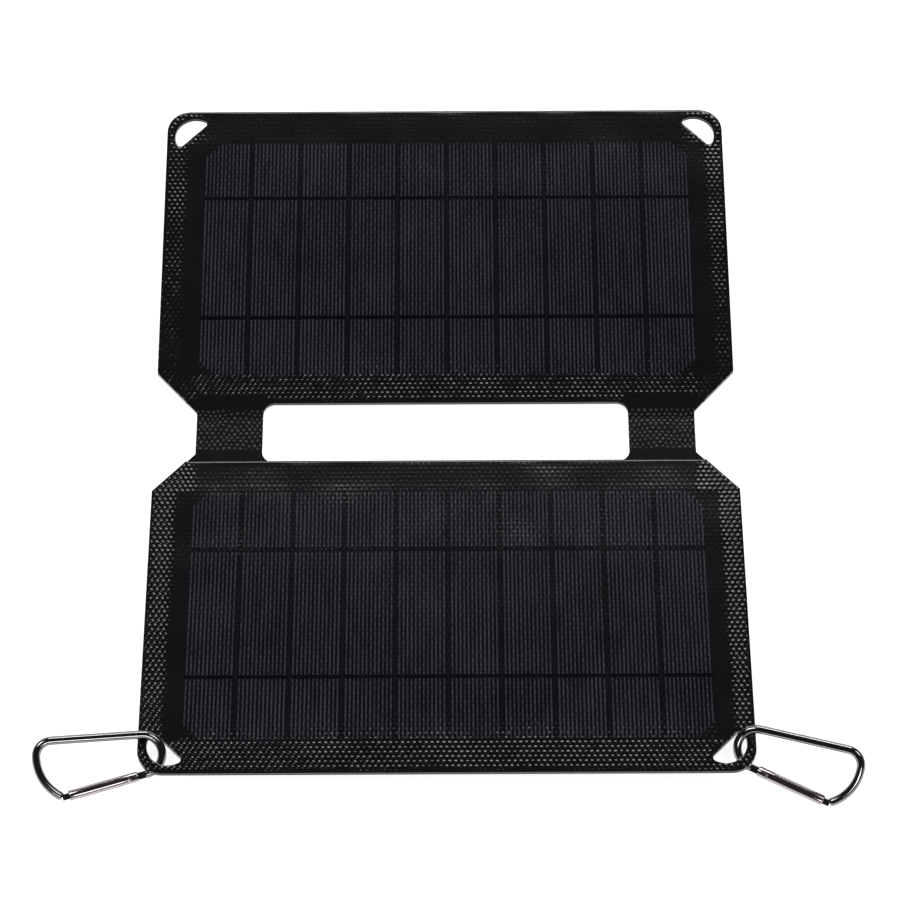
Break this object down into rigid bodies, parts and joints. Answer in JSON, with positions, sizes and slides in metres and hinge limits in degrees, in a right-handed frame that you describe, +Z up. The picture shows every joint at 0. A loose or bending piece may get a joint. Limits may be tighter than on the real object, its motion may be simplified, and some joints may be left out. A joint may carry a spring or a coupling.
{
  "type": "folding solar panel",
  "caption": "Folding solar charger: two film-faced leaves of strip cells joined by fabric straps, corner eyelets, spring-gate carabiners and a USB regulator box on the back",
  "frame": {"origin": "middle of the object in plan, on the surface it lies on", "axes": "+X to the right along the fold, +Y away from the leaf with the carabiners towards the leaf with the regulator box, +Z up out of the cell faces"},
  "size_m": [0.3604, 0.359, 0.0206],
  "materials": {
    "front_film": "dimpled clear film over black",
    "back_cloth": "black woven polyester",
    "board": "glass-fibre sheet",
    "silicon": "dark silicon with fine printed fingers",
    "cell_ribbon": "darkened metal ribbon",
    "strap_fabric": "coated black cloth",
    "housing_plastic": "fine moulded texture",
    "circuit_board": "green solder mask",
    "socket_metal": "tinned steel",
    "black_insulator": "moulded black",
    "clear_lens": "clear moulded",
    "ferrite": "sintered grey",
    "polished_steel": "polished bright",
    "gate_aluminium": "polished, slightly warm",
    "spring_steel": "bright wire",
    "fastener_steel": "plain steel"
  },
  "bodies": {
    "lower_panel": {"lower_back_cloth": "back_cloth", "lower_stiffener_board": "board", "lower_cell_1": "silicon", "lower_cell_2": "silicon", "lower_cell_3": "silicon", "lower_cell_4": "silicon", "lower_cell_5": "silicon", "lower_cell_6": "silicon", "lower_cell_7": "silicon", "lower_cell_8": "silicon", "lower_cell_9": "silicon", "lower_cell_10": "silicon", "lower_ribbon_inner": "cell_ribbon", "lower_ribbon_outer": "cell_ribbon", "lower_front_film": "front_film"},
    "fold_straps": {"strap_left": "strap_fabric", "strap_right": "strap_fabric"},
    "upper_panel": {"upper_back_cloth": "back_cloth", "upper_stiffener_board": "board", "upper_cell_1": "silicon", "upper_cell_2": "silicon", "upper_cell_3": "silicon", "upper_cell_4": "silicon", "upper_cell_5": "silicon", "upper_cell_6": "silicon", "upper_cell_7": "silicon", "upper_cell_8": "silicon", "upper_cell_9": "silicon", "upper_cell_10": "silicon", "upper_ribbon_inner": "cell_ribbon", "upper_ribbon_outer": "cell_ribbon", "upper_front_film": "front_film", "housing_base": "housing_plastic", "housing_cover": "housing_plastic", "circuit_board": "circuit_board", "usb_a_shell": "socket_metal", "usb_a_core": "black_insulator", "usb_c_shell": "socket_metal", "usb_c_core": "black_insulator", "status_light_pipe": "clear_lens", "regulator_inductor": "ferrite", "regulator_capacitor": "socket_metal", "regulator_chip": "black_insulator", "cover_screw_1": "fastener_steel", "cover_screw_2": "fastener_steel", "cover_screw_3": "fastener_steel", "cover_screw_4": "fastener_steel"},
    "left_carabiner": {"left_carabiner_body": "polished_steel"},
    "left_gate": {"left_carabiner_gate": "gate_aluminium", "left_carabiner_nose_pin": "fastener_steel", "left_carabiner_plunger": "spring_steel", "left_carabiner_spring": "spring_steel", "left_carabiner_rivet": "fastener_steel"},
    "right_carabiner": {"right_carabiner_body": "polished_steel"},
    "right_gate": {"right_carabiner_gate": "gate_aluminium", "right_carabiner_nose_pin": "fastener_steel", "right_carabiner_plunger": "spring_steel", "right_carabiner_spring": "spring_steel", "right_carabiner_rivet": "fastener_steel"}
  },
  "joints": [
    {"name": "upper_fold", "type": "hinge", "parent": "fold_straps", "child": "upper_panel", "pos_m": [-0.00031, 0.01501, 0.00074], "axis": [1, 0, 0], "range_deg": [-93.3, 86.7]},
    {"name": "lower_fold", "type": "hinge", "parent": "lower_panel", "child": "fold_straps", "pos_m": [-0.00031, 0.00001, 0.00074], "axis": [1, 0, 0], "range_deg": [-93.3, 86.7]},
    {"name": "left_carabiner_swing", "type": "hinge", "parent": "lower_panel", "child": "left_carabiner", "pos_m": [-0.13581, -0.15682, 0.00714], "axis": [0.9778, -0.2094, 0.0077], "range_deg": [0, 110]},
    {"name": "left_gate_open", "type": "hinge", "parent": "left_carabiner", "child": "left_gate", "pos_m": [-0.13892, -0.16467, 0.00236], "axis": [-0.1611, 0.4892, -0.8572], "range_deg": [0, 25], "stiffness_Nm_per_rad": 0.05, "springref_deg": -28.65},
    {"name": "right_carabiner_swing", "type": "hinge", "parent": "lower_panel", "child": "right_carabiner", "pos_m": [0.13219, -0.15532, 0.00709], "axis": [0.9778, 0.2094, -0.0077], "range_deg": [0, 110]},
    {"name": "right_gate_open", "type": "hinge", "parent": "right_carabiner", "child": "right_gate", "pos_m": [0.13907, -0.16422, 0.00289], "axis": [-0.2906, -0.5294, 0.7971], "range_deg": [0, 25], "stiffness_Nm_per_rad": 0.05, "springref_deg": -28.65}
  ],
  "couplings": [
    {"joint": "upper_fold", "follows": "lower_fold", "ratio": 1}
  ]
}
